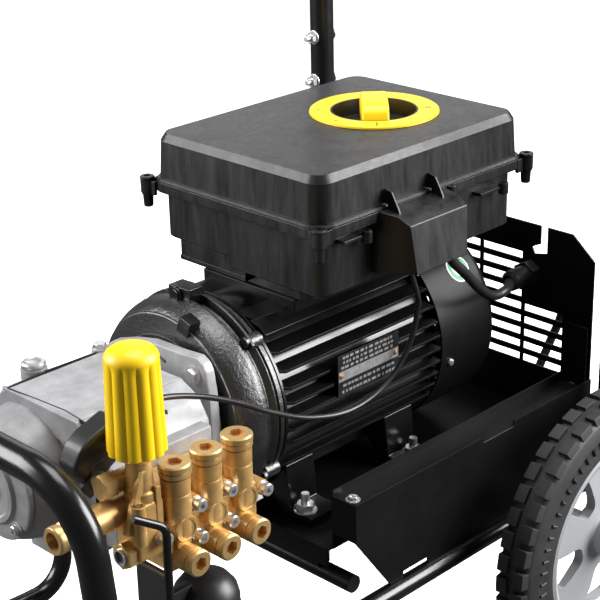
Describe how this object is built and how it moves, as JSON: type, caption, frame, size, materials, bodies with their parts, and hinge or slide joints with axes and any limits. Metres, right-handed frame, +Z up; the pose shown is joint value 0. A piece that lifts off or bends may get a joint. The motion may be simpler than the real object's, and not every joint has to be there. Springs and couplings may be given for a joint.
{
  "type": "pressure washer",
  "caption": "Electric cold-water pressure washer: finned motor driving a plunger pump with a brass head, control box on top, on a tube frame with large wheels and a push handle.",
  "frame": {"origin": "middle of the machine's footprint on the floor, without the mains cord", "axes": "+X from the pump towards the wheels and handle along the motor shaft, +Z up, -Y the side of the brass pump head"},
  "size_m": [1.2236, 0.6316, 1.0155],
  "materials": {
    "black_paint": "satin black powder coat",
    "black_plastic": "fine-grained black moulded plastic",
    "brass": "machined and forged brass",
    "cable": "black rubber cable jacket",
    "cast": "blasted die-cast aluminium",
    "ceramic": "white ceramic plunger",
    "copper": "enamelled copper winding",
    "grey_plastic": "mid grey plastic",
    "red_plastic": "red industrial plug plastic",
    "rubber": "black rubber",
    "steel": "zinc-plated and turned steel",
    "tyre": "black tyre rubber",
    "yellow": "signal yellow plastic"
  },
  "bodies": {
    "machine_frame": {"front_bumper_hoop": "black_paint", "side_tube_left": "black_paint", "rubber_foot_left": "rubber", "side_tube_right": "black_paint", "rubber_foot_right": "rubber", "wheel_axle": "steel", "base_tray": "black_paint", "side_panel_left": "black_paint", "side_panel_right": "black_paint", "rear_louvre_panel": "black_paint", "push_handle": "black_paint", "motor_housing": "black_paint", "motor_end_shield": "black_paint", "fan_cover": "black_paint", "stator_core": "steel", "stator_winding": "copper", "bell_housing": "black_paint", "pump_crankcase": "cast", "pump_bearing_cover": "cast", "oil_filler_cap": "steel", "pump_head": "brass", "discharge_valve_plug_1": "brass", "suction_valve_plug_1": "brass", "discharge_valve_plug_2": "brass", "suction_valve_plug_2": "brass", "discharge_valve_plug_3": "brass", "suction_valve_plug_3": "brass", "unloader_body": "brass", "pressure_outlet": "brass", "microswitch_housing": "black_plastic", "gun_hook": "black_paint", "inlet_filter": "black_plastic", "control_box_base": "black_plastic", "control_box_lid": "black_plastic", "dial_ring": "yellow", "switch_body": "grey_plastic", "contactor": "grey_plastic", "cable_hood": "black_plastic", "control_lead": "cable", "motor_lead": "cable", "cable_gland": "black_plastic", "mains_cord": "cable", "mains_cord_coil": "cable", "mains_plug": "red_plastic"},
    "wheel_left": {"tyre_left": "tyre", "wheel_rim_left": "grey_plastic"},
    "wheel_right": {"tyre_right": "tyre", "wheel_rim_right": "grey_plastic"},
    "shaft_train": {"motor_rotor": "steel", "cooling_fan": "black_plastic", "crankshaft": "steel"},
    "plunger_set_1": {"plunger_1": "ceramic", "connecting_rod_1": "cast"},
    "plunger_set_2": {"plunger_2": "ceramic", "connecting_rod_2": "cast"},
    "plunger_set_3": {"plunger_3": "ceramic", "connecting_rod_3": "cast"},
    "selector": {"selector_knob": "yellow"},
    "pressure_screw": {"unloader_spindle": "steel"},
    "pressure_hand_knob": {"pressure_knob": "yellow"}
  },
  "joints": [
    {"name": "wheel_left_spin", "type": "hinge", "parent": "machine_frame", "child": "wheel_left", "pos_m": [0.2774, -0.27, 0.176], "axis": [0, 1, 0], "continuous": true},
    {"name": "wheel_right_spin", "type": "hinge", "parent": "machine_frame", "child": "wheel_right", "pos_m": [0.2774, 0.27, 0.176], "axis": [0, 1, 0], "continuous": true},
    {"name": "motor_shaft_spin", "type": "hinge", "parent": "machine_frame", "child": "shaft_train", "pos_m": [-0.2626, 0, 0.4], "axis": [1, 0, 0], "continuous": true},
    {"name": "plunger_1_stroke", "type": "slide", "parent": "machine_frame", "child": "plunger_set_1", "axis": [0, 1, 0], "range_m": [-0.007, 0.007]},
    {"name": "plunger_2_stroke", "type": "slide", "parent": "machine_frame", "child": "plunger_set_2", "axis": [0, 1, 0], "range_m": [-0.007, 0.007]},
    {"name": "plunger_3_stroke", "type": "slide", "parent": "machine_frame", "child": "plunger_set_3", "axis": [0, 1, 0], "range_m": [-0.007, 0.007]},
    {"name": "selector_turn", "type": "hinge", "parent": "machine_frame", "child": "selector", "pos_m": [0.1814, 0, 0.65], "axis": [0, 0, -1], "range_deg": [0, 90]},
    {"name": "pressure_screw_travel", "type": "slide", "parent": "machine_frame", "child": "pressure_screw", "axis": [0, 0, -1], "range_m": [0, 0.0046]},
    {"name": "pressure_knob_turn", "type": "hinge", "parent": "pressure_screw", "child": "pressure_hand_knob", "pos_m": [-0.3336, -0.178, 0.5], "axis": [0, 0, -1], "range_deg": [0, 1080]}
  ],
  "couplings": [
    {"joint": "pressure_screw_travel", "follows": "pressure_knob_turn", "m_per_rad": 0.00023873}
  ]
}
